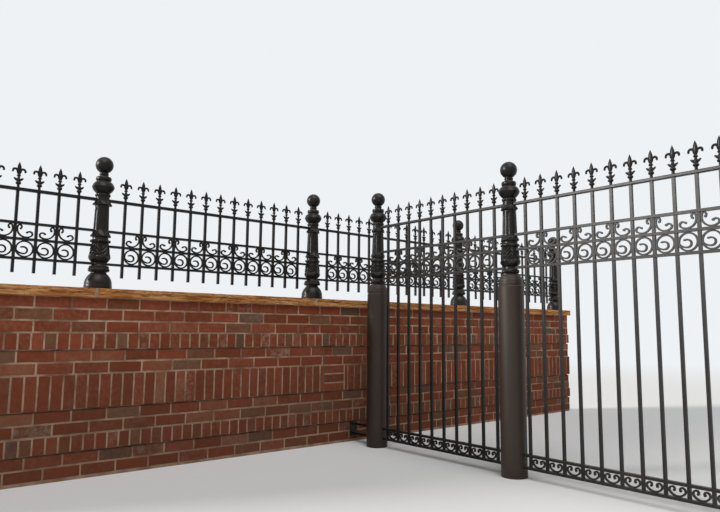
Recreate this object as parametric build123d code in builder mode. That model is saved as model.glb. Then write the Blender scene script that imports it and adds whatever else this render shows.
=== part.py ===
"""Iron railing: four short bays on a brick wall and two tall bays that meet it at a right angle.

Millimetres, Z up. X runs along the wall, Y runs into the wall, Z = 0 is the ground.
"""

import os
from math import atan, degrees

from build123d import *

os.makedirs("parts", exist_ok=True)

# Ironwork spacing
picket_pitch = 113.0
picket_side = 16.0
low_end_gap = 144.0
tall_end_gap = 120.0
low_picket_counts = (13, 13, 14, 13)
tall_picket_counts = (10, 13)

# Heights of the rails above the ground, measured to the middle of each rail
top_rail_z = 1681.5
band_rail_z = 1483.5
middle_rail_z = 1389.0
lower_rail_z = 1275.0
foot_band_rail_z = 140.0
foot_rail_z = 67.0

# Rail and scroll sections
rail_depth = 25.0
rail_height = 15.0
top_rail_height = 19.0
top_rail_round = 4.0
scroll_width = 9.0
scroll_depth = 12.0
scroll_end_radius = 6.0
weld_bite = 0.5

# Stretches of each scroll: radius as a share of its first one, and angle turned
high_curl = ((2.12, 20.0), (0.42, 145.0), (0.62, 60.0))
low_curl = ((1.0, 125.0), (0.30, 145.0), (0.42, 45.0))
low_curl_share = 0.6
ring_hook = ((0.45, 50.0), (1.15, 40.0), (0.43, 165.0), (0.70, 35.0))
foot_belly_share = 0.78
foot_curl_share = 0.28
foot_curl = ((1.0, 128.0), (0.6, 130.0))
foot_belly_turn = 52.0

# Short pickets stop below the lower rail
stub_z = 1192.0

# Brick wall
wall_thickness = 194.0
stretcher_pitch = 203.0
brick_joint = 10.0
wall_modules = 34
course_height = 71.0
rowlock_height = 101.0
soldier_height = 205.0
wall_height = 1061.0
band_projection = 8.0

# Coping
coping_thickness = 57.0
coping_width = 254.0
coping_overhang = 30.0
coping_joint = 6.0
coping_joint_shift = -42.0
coping_edge = 5.0

# Cast post, from its ball down
ball_radius = 54.0
ball_z = 1908.0
ball_seat_drop = 49.0
neck_radius = 26.0
neck_foot_z = 1836.0
neck_lip = 3.0
collar_radius = 47.0
collar_z = 1817.0
collar_thickness = 28.0
bulb_top_radius = 40.0
bulb_top_z = 1800.0
bulb_upper_radius = 59.5
bulb_upper_z = 1784.5
bulb_radius = 67.5
bulb_z = 1764.0
bulb_lower_radius = 58.3
bulb_lower_z = 1743.5
bulb_foot_radius = 42.0
bulb_foot_z = 1726.0
leaf_ring_radius = 46.5
leaf_ring_z = 1711.0
leaf_ring_thickness = 20.0
rail_drum_radius = 40.0
crown_radius = 61.0
crown_z = 1652.0
crown_thickness = 20.0
shaft_top_radius = 42.0
shaft_top_z = 1640.0
shaft_foot_radius = 47.0
shaft_foot_z = 1466.0
leaf_flare_radius = 61.0
leaf_flare_z = 1452.0
leaf_flare_thickness = 22.0
vase_ring_radius = 62.0
vase_ring_z = 1417.0
vase_ring_thickness = 12.0
vase_top_radius = 48.0
vase_top_z = 1405.0
vase_neck_radius = 54.0
vase_neck_z = 1374.0
vase_middle_radius = 56.0
vase_middle_z = 1352.0
vase_flare_radius = 59.5
vase_flare_z = 1334.0
vase_radius = 66.5
vase_z = 1317.0
vase_foot_radius = 59.0
vase_foot_z = 1299.0
waist_radius = 42.0
waist_top_z = 1282.0

# Flutes of the cast post, and the hollows that leave four lobes on its rings
flute_count = 8
flute_radius = 14.0
flute_depth = 5.0
flute_margin = 12.0
notch_count = 4
notch_radius = 30.0
notch_place_radius = 79.0

# Foot of a post that stands on the coping
foot_ring_radius = 66.0
foot_ring_z = 1242.0
foot_ring_thickness = 30.0
foot_neck_radius = 47.0
foot_neck_z = 1217.0
bell_radius = 83.0
bell_rim = 18.0
bell_shoulder_radius = 73.5
bell_shoulder_z = 1181.0

# Column of a post that stands on the ground
head_foot_z = 1231.0
head_foot_radius = 48.0
torus_radius = 56.0
torus_z = 1253.0
torus_thickness = 22.0
column_radius = 80.0
column_shoulder_z = 1160.0
shoulder_top_radius = 56.0
shoulder_radius = 75.0
shoulder_z = 1168.0
column_edge = 2.0
shoulder_swell = 6.0

# Sockets in the posts that hold the ends of the rails
socket_reach = 30.0
column_socket_reach = 70.0
socket_clearance = 0.3
socket_end_clearance = 1.0

# Plates where the two bottom rails end on the brickwork
tie_plate_thickness = 6.0
tie_plate_width = 60.0
tie_plate_margin = 14.0

# Fleur-de-lis casting, heights measured up from the top rail
finial_height = 153.0
finial_thickness = 11.0
socket_radius = 10.0
socket_height = 4.0
bead_radius = 15.5
bead_z = 25.0
bead_half = 8.0
body_radius = 8.0
band_radius = 12.0
band_z = 70.0
band_half = 5.0
spear_radius = 12.5
spear_z = 104.0
spear_foot_z = 80.0
spear_shoulder_radius = 11.0
spear_shoulder_z = 126.0
petal_centre_x = 21.0
petal_centre_z = 97.0
petal_radius = 12.5
petal_width = 13.0
petal_sweep = 215.0
petal_tip_radius = 7.0
leaf_span = 26.0
leaf_tip_z = 60.0
leaf_tip_width = 8.0
leaf_foot_z = 35.0
leaf_top_z = 52.0

# The corner post of the tall run stands in front of the wall
tall_run_x = 1855.0
corner_post_y = -386.0

# Places of the posts along the wall, worked out from the bays
first_picket_x = 0.0
bay_lengths = [2 * low_end_gap + (count - 1) * picket_pitch for count in low_picket_counts]
second_post_x = first_picket_x - low_end_gap
low_post_x = [second_post_x - bay_lengths[0], second_post_x]
for bay_length in bay_lengths[1:]:
    low_post_x.append(low_post_x[-1] + bay_length)

# Places of the posts of the tall run
tall_post_y = [corner_post_y]
for count in tall_picket_counts:
    tall_post_y.append(tall_post_y[-1] - 2 * tall_end_gap - (count - 1) * picket_pitch)

wall_length = wall_modules * stretcher_pitch - brick_joint
wall_centre_x = (low_post_x[0] + low_post_x[-1]) / 2
coping_top_z = wall_height + coping_thickness
coping_length = wall_length + 2 * coping_overhang
coping_back_y = coping_width / 2
front_y = tall_post_y[-1] - column_radius

# The frame's origin is the middle of the footprint
origin_x = wall_centre_x
origin_y = (coping_back_y + front_y) / 2

low_rails = (
    (top_rail_z, top_rail_height),
    (band_rail_z, rail_height),
    (middle_rail_z, rail_height),
    (lower_rail_z, rail_height),
)
foot_rails = (
    (foot_band_rail_z, rail_height),
    (foot_rail_z, rail_height),
)

# Derived levels and radii of the post
head_top_z = ball_z - ball_seat_drop
ball_seat_radius = (ball_radius**2 - ball_seat_drop**2) ** 0.5
bell_rim_z = coping_top_z + bell_rim
shaft_lean = degrees(atan((shaft_foot_radius - shaft_top_radius) / (shaft_top_z - shaft_foot_z)))
shoulder_middle_radius = (shoulder_radius + shoulder_top_radius) / 2 + shoulder_swell
shoulder_middle_z = (shoulder_z + head_foot_z) / 2 + shoulder_swell


def save(part, name):
    """Label one node and write its file."""
    part.label = name
    export_step(part, f"parts/{name}.step")


def curl(start, heading, radius, stretches, turn):
    """Tangent arcs from a point, each with its share of the radius. Returns where they end."""
    for share, sweep in stretches:
        stretch = JernArc(start, heading, radius * share, sweep * turn)
        start, heading = stretch @ 1, stretch % 1
    return start


def band_scroll(clear_height, mirrored):
    """C-scroll between two pickets: high curl beside one picket, low curl beside the other."""
    half_gap = (picket_pitch - picket_side) / 2
    edge = scroll_width / 2 - weld_bite
    low_radius = clear_height * low_curl_share
    high_radius = clear_height - 2 * edge - low_radius
    side = -1 if mirrored else 1
    with BuildSketch() as scroll:
        with BuildLine():
            start = (side * (edge - half_gap), edge + low_radius)
            high_end = curl(start, (0, 1), high_radius, high_curl, -side)
            low_end = curl(start, (0, -1), low_radius, low_curl, side)
        trace(line_width=scroll_width)
        with Locations(high_end, low_end):
            Circle(scroll_end_radius)
    return scroll.sketch


def ring_scroll(clear_height):
    """Full ring that turns inward into a hook."""
    ring_radius = clear_height / 2 - scroll_width / 2 + weld_bite
    with BuildSketch() as scroll:
        with Locations((0, clear_height / 2)):
            Circle(ring_radius + scroll_width / 2)
            Circle(ring_radius - scroll_width / 2, mode=Mode.SUBTRACT)
        with BuildLine():
            hook_end = curl((-ring_radius, clear_height / 2), (0, -1), ring_radius, ring_hook, 1)
        trace(line_width=scroll_width)
        with Locations(hook_end):
            Circle(scroll_width / 2)
    return scroll.sketch


def foot_scroll(clear_height):
    """Open C-scroll that lies on its back, both ends curled in at the top."""
    edge = scroll_width / 2 - weld_bite
    belly_radius = clear_height * foot_belly_share
    curl_radius = clear_height * foot_curl_share
    ends = []
    with BuildSketch() as scroll:
        with BuildLine():
            for side in (1, -1):
                belly = JernArc((0, edge), (side, 0), belly_radius, foot_belly_turn * side)
                ends.append(curl(belly @ 1, belly % 1, curl_radius, foot_curl, side))
        trace(line_width=scroll_width)
        with Locations(ends):
            Circle(scroll_end_radius)
    return scroll.sketch


def welded_panel(count, picket_foot_z, end_gap, rail_ends, with_foot_band):
    """Rails, pickets and scrolls of one bay as one solid. The first post stands at X = 0."""
    bay_length = 2 * end_gap + (count - 1) * picket_pitch
    picket_places = [end_gap + index * picket_pitch for index in range(count)]
    gap_middles = [x + picket_pitch / 2 for x in picket_places[:-1]]
    upper_foot = middle_rail_z + rail_height / 2
    upper_clear = band_rail_z - rail_height / 2 - upper_foot
    lower_foot = lower_rail_z + rail_height / 2
    lower_clear = middle_rail_z - rail_height / 2 - lower_foot
    foot_foot = foot_rail_z + rail_height / 2
    foot_clear = foot_band_rail_z - rail_height / 2 - foot_foot
    with BuildPart() as panel:
        with BuildSketch(Plane.XY.offset(picket_foot_z)):
            with Locations([(x, 0) for x in picket_places]):
                Rectangle(picket_side, picket_side)
        extrude(amount=top_rail_z - picket_foot_z)
        for rail_z, height, reach in rail_ends:
            with BuildSketch(Plane.YZ.offset(reach)):
                with Locations((0, rail_z)):
                    rail_section = Rectangle(rail_depth, height)
                if rail_z == top_rail_z:
                    fillet(rail_section.vertices().group_by(Axis.Z)[-1], radius=top_rail_round)
            extrude(amount=bay_length - 2 * reach)
        with BuildSketch(Plane.XZ):
            for index, middle in enumerate(gap_middles):
                with Locations((middle, upper_foot)):
                    add(band_scroll(upper_clear, index % 2 == 0))
                with Locations((middle, lower_foot)):
                    add(ring_scroll(lower_clear))
                if with_foot_band:
                    with Locations((middle, foot_foot)):
                        add(foot_scroll(foot_clear))
        extrude(amount=scroll_depth / 2, both=True)
    return panel.part


def fleur_de_lis():
    """One finial casting that stands on the top rail at Z = 0."""
    with BuildPart() as finial:
        with BuildSketch(Plane.XZ):
            with BuildLine():
                Polyline((0, 0), (socket_radius, 0), (socket_radius, socket_height))
                Polyline((socket_radius, socket_height), (body_radius, socket_height))
                Line((body_radius, socket_height), (body_radius, bead_z - bead_half))
                ThreePointArc(
                    (body_radius, bead_z - bead_half),
                    (bead_radius, bead_z),
                    (body_radius, bead_z + bead_half),
                )
                Line((body_radius, bead_z + bead_half), (body_radius, band_z - band_half))
                ThreePointArc(
                    (body_radius, band_z - band_half),
                    (band_radius, band_z),
                    (body_radius, band_z + band_half),
                )
                Polyline(
                    (body_radius, band_z + band_half),
                    (body_radius, spear_foot_z),
                    (spear_radius, spear_z),
                    (spear_shoulder_radius, spear_shoulder_z),
                    (0, finial_height),
                    (0, 0),
                )
            make_face()
        revolve(axis=Axis.Z)
        with BuildSketch(Plane.XZ):
            with BuildLine():
                petal = CenterArc((petal_centre_x, petal_centre_z), petal_radius, 180, -petal_sweep)
            trace(line_width=petal_width)
            with Locations(petal @ 1):
                Circle(petal_tip_radius)
            with BuildLine():
                Line((0, spear_foot_z - petal_radius), (petal_centre_x - petal_radius, petal_centre_z))
            trace(line_width=petal_width)
            with BuildLine():
                Polyline(
                    (0, leaf_foot_z),
                    (leaf_span, leaf_tip_z - leaf_tip_width),
                    (leaf_span, leaf_tip_z),
                    (leaf_span - leaf_tip_width, leaf_tip_z),
                    (0, leaf_top_z),
                    (0, leaf_foot_z),
                )
            make_face()
            mirror(about=Plane.YZ)
        extrude(amount=finial_thickness / 2, both=True)
    return finial.part


def ring_outline(base_radius, radius, middle_z, thickness):
    """Points of a turned ring with broken corners, from the bottom up."""
    bevel = thickness / 5
    low, high = middle_z - thickness / 2, middle_z + thickness / 2
    return [
        (base_radius, low),
        (radius - bevel, low),
        (radius, low + bevel),
        (radius, high - bevel),
        (radius - bevel, high),
        (base_radius, high),
    ]


def post_head(foot_z):
    """Fluted cast head common to every post, from its waist to the seat of the ball."""
    with BuildPart() as head:
        with BuildSketch(Plane.XZ):
            with BuildLine():
                Polyline((0, foot_z), (waist_radius, foot_z), (waist_radius, waist_top_z))
                ThreePointArc(
                    (waist_radius, waist_top_z),
                    (vase_foot_radius, vase_foot_z),
                    (vase_radius, vase_z),
                )
                ThreePointArc(
                    (vase_radius, vase_z),
                    (vase_flare_radius, vase_flare_z),
                    (vase_middle_radius, vase_middle_z),
                )
                ThreePointArc(
                    (vase_middle_radius, vase_middle_z),
                    (vase_neck_radius, vase_neck_z),
                    (vase_top_radius, vase_top_z),
                )
                Polyline(
                    (vase_top_radius, vase_top_z),
                    *ring_outline(vase_top_radius, vase_ring_radius, vase_ring_z, vase_ring_thickness),
                    *ring_outline(vase_top_radius, leaf_flare_radius, leaf_flare_z, leaf_flare_thickness),
                    (shaft_foot_radius, shaft_foot_z),
                    (shaft_top_radius, shaft_top_z),
                    *ring_outline(shaft_top_radius, crown_radius, crown_z, crown_thickness),
                    (rail_drum_radius, crown_z + crown_thickness / 2),
                    *ring_outline(rail_drum_radius, leaf_ring_radius, leaf_ring_z, leaf_ring_thickness),
                    (bulb_foot_radius, bulb_foot_z),
                )
                ThreePointArc(
                    (bulb_foot_radius, bulb_foot_z),
                    (bulb_lower_radius, bulb_lower_z),
                    (bulb_radius, bulb_z),
                )
                ThreePointArc(
                    (bulb_radius, bulb_z),
                    (bulb_upper_radius, bulb_upper_z),
                    (bulb_top_radius, bulb_top_z),
                )
                Polyline(
                    (bulb_top_radius, bulb_top_z),
                    *ring_outline(bulb_top_radius, collar_radius, collar_z, collar_thickness),
                    (neck_radius, neck_foot_z),
                    (neck_radius, head_top_z - neck_lip),
                    (ball_seat_radius, head_top_z),
                    (0, head_top_z),
                    (0, foot_z),
                )
            make_face()
        revolve(axis=Axis.Z)
        flute_length = shaft_top_z - shaft_foot_z - 2 * flute_margin
        flute_middle_radius = (shaft_top_radius + shaft_foot_radius) / 2 + flute_radius - flute_depth
        with PolarLocations(0, flute_count, start_angle=180 / flute_count):
            with Locations(
                Location((flute_middle_radius, 0, (shaft_top_z + shaft_foot_z) / 2), (0, -shaft_lean, 0))
            ):
                Cylinder(flute_radius, flute_length, mode=Mode.SUBTRACT)
        lobed_rings = (
            (vase_ring_z, vase_ring_thickness),
            (leaf_flare_z, leaf_flare_thickness),
            (crown_z, crown_thickness),
        )
        for ring_z, thickness in lobed_rings:
            with PolarLocations(notch_place_radius, notch_count, start_angle=180 / notch_count):
                with Locations((0, 0, ring_z)):
                    Cylinder(notch_radius, thickness, mode=Mode.SUBTRACT)
    return head.part


def cut_sockets(rails, directions, seat_reach, outer_reach):
    """Rail sockets cut from the outside towards the middle of a post, one set for each direction."""
    depth = outer_reach - seat_reach
    for angle in directions:
        for rail_z, height in rails:
            with Locations(Rot(0, 0, angle)):
                with Locations(((seat_reach + outer_reach) / 2, 0, rail_z + socket_clearance / 2)):
                    Box(
                        depth,
                        rail_depth + 2 * socket_clearance,
                        height + socket_clearance,
                        mode=Mode.SUBTRACT,
                    )


def wall_post(directions):
    """Cast post with a bell foot that stands on the coping."""
    with BuildPart() as post:
        add(post_head(foot_ring_z))
        with BuildSketch(Plane.XZ):
            with BuildLine():
                Polyline((0, coping_top_z), (bell_radius, coping_top_z), (bell_radius, bell_rim_z))
                ThreePointArc(
                    (bell_radius, bell_rim_z),
                    (bell_shoulder_radius, bell_shoulder_z),
                    (foot_neck_radius, foot_neck_z),
                )
                Polyline(
                    (foot_neck_radius, foot_neck_z),
                    *ring_outline(foot_neck_radius, foot_ring_radius, foot_ring_z, foot_ring_thickness),
                    (0, foot_ring_z + foot_ring_thickness / 2),
                    (0, coping_top_z),
                )
            make_face()
        revolve(axis=Axis.Z)
        cut_sockets(low_rails, directions, socket_reach - socket_end_clearance, bell_radius)
    return post.part


def ground_head(directions):
    """Cast head that sits on the shoulder of a column."""
    with BuildPart() as head:
        add(post_head(head_foot_z))
        with BuildSketch(Plane.XZ):
            with BuildLine():
                Polyline(
                    (0, head_foot_z),
                    (head_foot_radius, head_foot_z),
                    *ring_outline(head_foot_radius, torus_radius, torus_z, torus_thickness),
                    (0, torus_z + torus_thickness / 2),
                    (0, head_foot_z),
                )
            make_face()
        revolve(axis=Axis.Z)
        cut_sockets(low_rails, directions, socket_reach - socket_end_clearance, bell_radius)
    return head.part


def ground_column(directions):
    """Plain round column with a domed shoulder."""
    with BuildPart() as column:
        with BuildSketch(Plane.XZ):
            with BuildLine():
                Polyline(
                    (0, 0),
                    (column_radius, 0),
                    (column_radius, column_shoulder_z - column_edge),
                    (column_radius - column_edge, column_shoulder_z),
                    (shoulder_radius, column_shoulder_z),
                    (shoulder_radius, shoulder_z),
                )
                ThreePointArc(
                    (shoulder_radius, shoulder_z),
                    (shoulder_middle_radius, shoulder_middle_z),
                    (shoulder_top_radius, head_foot_z),
                )
                Polyline((shoulder_top_radius, head_foot_z), (0, head_foot_z), (0, 0))
            make_face()
        revolve(axis=Axis.Z)
        seat_reach = column_socket_reach - socket_end_clearance
        cut_sockets(foot_rails, directions, seat_reach, column_radius + rail_depth)
    return column.part


def ball():
    """Ball finial with a flat seat."""
    with BuildPart() as finial:
        with Locations((0, 0, ball_z)):
            Sphere(ball_radius)
        split(bisect_by=Plane.XY.offset(head_top_z), keep=Keep.TOP)
    return finial.part


def place(part, name, x, y, turn=0.0):
    """Set a finished part in the frame and write it."""
    with BuildPart() as placed:
        with Locations(Location((x - origin_x, y - origin_y, 0), (0, 0, turn))):
            add(part)
    save(placed.part, name)


def finial_row(count, end_gap):
    """The fleur-de-lis castings of one bay, each on its own picket."""
    casting = fleur_de_lis()
    seat_z = top_rail_z + top_rail_height / 2
    with BuildPart() as row:
        with Locations([(end_gap + index * picket_pitch, 0, seat_z) for index in range(count)]):
            add(casting)
    return row.part


# Brick wall with three courses of bricks on edge or on end that stand proud
upper_rowlock_top_z = wall_height - 3 * course_height
soldier_top_z = upper_rowlock_top_z - rowlock_height - 2 * course_height
lower_rowlock_top_z = soldier_top_z - soldier_height - 2 * course_height
with BuildPart() as wall:
    with Locations((wall_centre_x - origin_x, -origin_y, wall_height / 2)):
        Box(wall_length, wall_thickness, wall_height)
    for band_top, band_height in (
        (upper_rowlock_top_z, rowlock_height),
        (soldier_top_z, soldier_height),
        (lower_rowlock_top_z, rowlock_height),
    ):
        with Locations((wall_centre_x - origin_x, -origin_y, band_top - band_height / 2)):
            Box(wall_length + 2 * band_projection, wall_thickness + 2 * band_projection, band_height)
save(wall.part, "brick_wall")

# Coping stones with joints beside the posts
stone_joints = [x + coping_joint_shift for x in low_post_x[1:-1]]
stone_starts = [wall_centre_x - coping_length / 2] + [x + coping_joint / 2 for x in stone_joints]
stone_ends = [x - coping_joint / 2 for x in stone_joints] + [wall_centre_x + coping_length / 2]
for number, (start_x, end_x) in enumerate(zip(stone_starts, stone_ends), 1):
    with BuildPart() as stone:
        with Locations(((start_x + end_x) / 2 - origin_x, -origin_y, wall_height + coping_thickness / 2)):
            Box(end_x - start_x, coping_width, coping_thickness)
        chamfer(stone.edges().filter_by(Axis.X), length=coping_edge)
    save(stone.part, f"coping_stone_{number}")

# Posts and balls on the wall
plain_ball = ball()
low_directions = [(0,), (0, 180), (0, 180), (0, 180), (180,)]
for number, (x, directions) in enumerate(zip(low_post_x, low_directions), 1):
    place(wall_post(directions), f"wall_post_{number}", x, 0)
    place(plain_ball, f"wall_post_ball_{number}", x, 0)

# Posts, heads and balls of the tall run, whose rails leave along Y
head_directions = [(-90,), (90, -90), (90,)]
column_directions = [(90, -90), (90, -90), (90,)]
for number, y in enumerate(tall_post_y, 1):
    place(ground_column(column_directions[number - 1]), f"ground_post_{number}", tall_run_x, y)
    place(ground_head(head_directions[number - 1]), f"ground_post_head_{number}", tall_run_x, y)
    place(plain_ball, f"ground_post_ball_{number}", tall_run_x, y)

# Panels and finials on the wall
low_rail_ends = [(rail_z, height, socket_reach) for rail_z, height in low_rails]
low_panels = {}
low_rows = {}
for count in sorted(set(low_picket_counts)):
    low_panels[count] = welded_panel(count, stub_z, low_end_gap, low_rail_ends, False)
    low_rows[count] = finial_row(count, low_end_gap)
for number, (count, x) in enumerate(zip(low_picket_counts, low_post_x), 1):
    place(low_panels[count], f"low_panel_{number}", x, 0)
    place(low_rows[count], f"low_panel_finials_{number}", x, 0)

# Panels and finials of the tall run
foot_rail_ends = [(rail_z, height, column_socket_reach) for rail_z, height in foot_rails]
tall_foot_z = foot_rail_z - rail_height / 2
for number, (count, y) in enumerate(zip(tall_picket_counts, tall_post_y), 1):
    panel = welded_panel(count, tall_foot_z, tall_end_gap, low_rail_ends + foot_rail_ends, True)
    place(panel, f"tall_panel_{number}", tall_run_x, y, -90)
    place(finial_row(count, tall_end_gap), f"tall_panel_finials_{number}", tall_run_x, y, -90)

# The two bottom rails run on from the corner post to a plate on the brickwork
plate_foot_z = foot_rail_z - rail_height / 2 - tie_plate_margin
plate_top_z = lower_rowlock_top_z - rowlock_height
tie_start = column_socket_reach
tie_end = -wall_thickness / 2 - corner_post_y
with BuildPart() as tie:
    for rail_z, height in foot_rails:
        with Locations(((tie_start + tie_end) / 2, 0, rail_z)):
            Box(tie_end - tie_start, rail_depth, height)
    with Locations((tie_end - tie_plate_thickness / 2, 0, (plate_foot_z + plate_top_z) / 2)):
        Box(tie_plate_thickness, tie_plate_width, plate_top_z - plate_foot_z)
place(tie.part, "wall_tie", tall_run_x, corner_post_y, 90)
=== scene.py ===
"""Looks of a dark iron railing with fleur-de-lis tips, its cast posts and its brick wall.

Metres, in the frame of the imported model: X runs along the wall, Y into the wall, Z up from the ground.
"""

import logging
import math
import random
from dataclasses import dataclass, field
from enum import Enum
from typing import Callable, Iterator, Sequence

import bpy
import numpy as np
from mathutils import Matrix, Vector, noise


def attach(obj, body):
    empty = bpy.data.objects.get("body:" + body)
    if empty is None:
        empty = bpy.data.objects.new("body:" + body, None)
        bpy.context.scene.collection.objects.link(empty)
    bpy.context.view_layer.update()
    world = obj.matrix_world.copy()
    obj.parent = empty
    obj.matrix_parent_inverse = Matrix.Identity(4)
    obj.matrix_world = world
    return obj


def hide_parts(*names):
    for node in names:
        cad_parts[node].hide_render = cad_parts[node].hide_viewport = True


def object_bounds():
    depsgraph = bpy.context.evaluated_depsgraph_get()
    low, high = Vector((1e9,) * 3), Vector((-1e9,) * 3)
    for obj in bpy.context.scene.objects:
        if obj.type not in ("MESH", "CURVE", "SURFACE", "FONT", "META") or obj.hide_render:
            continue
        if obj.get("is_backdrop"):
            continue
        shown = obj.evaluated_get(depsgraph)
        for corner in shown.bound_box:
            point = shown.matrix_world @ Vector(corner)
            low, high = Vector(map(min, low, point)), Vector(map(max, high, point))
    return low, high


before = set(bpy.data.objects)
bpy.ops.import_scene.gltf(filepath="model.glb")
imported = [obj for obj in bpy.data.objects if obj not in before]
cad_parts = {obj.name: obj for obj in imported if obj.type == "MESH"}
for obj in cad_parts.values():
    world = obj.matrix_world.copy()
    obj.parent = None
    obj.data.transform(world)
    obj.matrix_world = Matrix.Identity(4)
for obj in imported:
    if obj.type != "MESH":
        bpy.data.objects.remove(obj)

log = logging.getLogger("railing")
Triple = tuple[float, float, float]
Colour = Triple
Pair = tuple[float, float]
Zone = tuple[float, float, float, float]
Face = tuple[int, ...]
Form = tuple[np.ndarray, list[Face]]
Relief = Callable[[np.ndarray, np.ndarray], np.ndarray]

# Lengths in metres
MM = 0.001
SMALLEST_RADIUS = 0.0005
# Heights at which the painted shade at the foot of the wall is full and where it has faded out
PAINTED_SHADE_FOOT = 0.05
PAINTED_SHADE_TOP = 1.05

# Tone behind the object, constants of the noise, and places of the sockets of a colour mix
BACKDROP = (0.86, 0.885, 0.91)
CLOUD_ROUGHNESS = 0.6
SEED_TO_Y = 1.7
SEED_TO_Z = 2.3
MIX_FIRST, MIX_SECOND, MIX_RESULT = 6, 7, 2

# Places of the posts and bays in millimetres
WALL_Y = 1596.0
LOW_POSTS_X = (-3344.5, -1700.5, -56.5, 1700.5, 3344.5)
LOW_COUNTS = (13, 13, 14, 13)
LOW_END_GAP = 144.0
TALL_X = 298.5
TALL_POSTS_Y = (1210.0, -47.0, -1643.0)
TALL_COUNTS = (10, 13)
TALL_END_GAP = 120.0


@dataclass(frozen=True)
class Patches:
    """Mask made of noise, with its waves per metre, its octaves and the values between which it rises."""

    scale: float
    detail: float
    low: float
    high: float
    stretch: Triple = (1.0, 1.0, 1.0)


@dataclass(frozen=True)
class Grain:
    """Layer of a rough surface: noise with its waves per metre, its octaves and its share of the height."""

    scale: float
    detail: float
    share: float


@dataclass(frozen=True)
class Signal:
    """A node's output that takes part in ordinary arithmetic, with the board that takes the new nodes."""

    board: "Board"
    socket: bpy.types.NodeSocket

    def _maths(self, operation: str, first: object, second: object = 0.0) -> "Signal":
        """Add one Math node.

        Args:
            operation: Blender's name of the operation.
            first: Its first value, a number or a Signal.
            second: Its second value, a number or a Signal.

        Returns:
            The node's result.
        """
        node = self.board.node("ShaderNodeMath", {"operation": operation}, {0: first, 1: second})
        return Signal(self.board, node.outputs[0])

    def __add__(self, other: object) -> "Signal":
        """Sum of two values."""
        return self._maths("ADD", self, other)

    def __radd__(self, other: object) -> "Signal":
        """Sum with a number on the left."""
        return self._maths("ADD", other, self)

    def __sub__(self, other: object) -> "Signal":
        """Difference of two values."""
        return self._maths("SUBTRACT", self, other)

    def __rsub__(self, other: object) -> "Signal":
        """Difference from a number on the left."""
        return self._maths("SUBTRACT", other, self)

    def __mul__(self, other: object) -> "Signal":
        """Product of two values."""
        return self._maths("MULTIPLY", self, other)

    def __rmul__(self, other: object) -> "Signal":
        """Product with a number on the left."""
        return self._maths("MULTIPLY", other, self)

    def step(self, low: float, high: float) -> "Signal":
        """Smooth step from 0 to 1.

        Args:
            low: Value at which the step starts.
            high: Value at which the step is complete.

        Returns:
            A mask from 0 to 1.
        """
        node = self.board.node(
            "ShaderNodeMapRange",
            {"interpolation_type": "SMOOTHSTEP", "clamp": True},
            {"Value": self, "From Min": low, "From Max": high},
        )
        return Signal(self.board, node.outputs["Result"])


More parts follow.
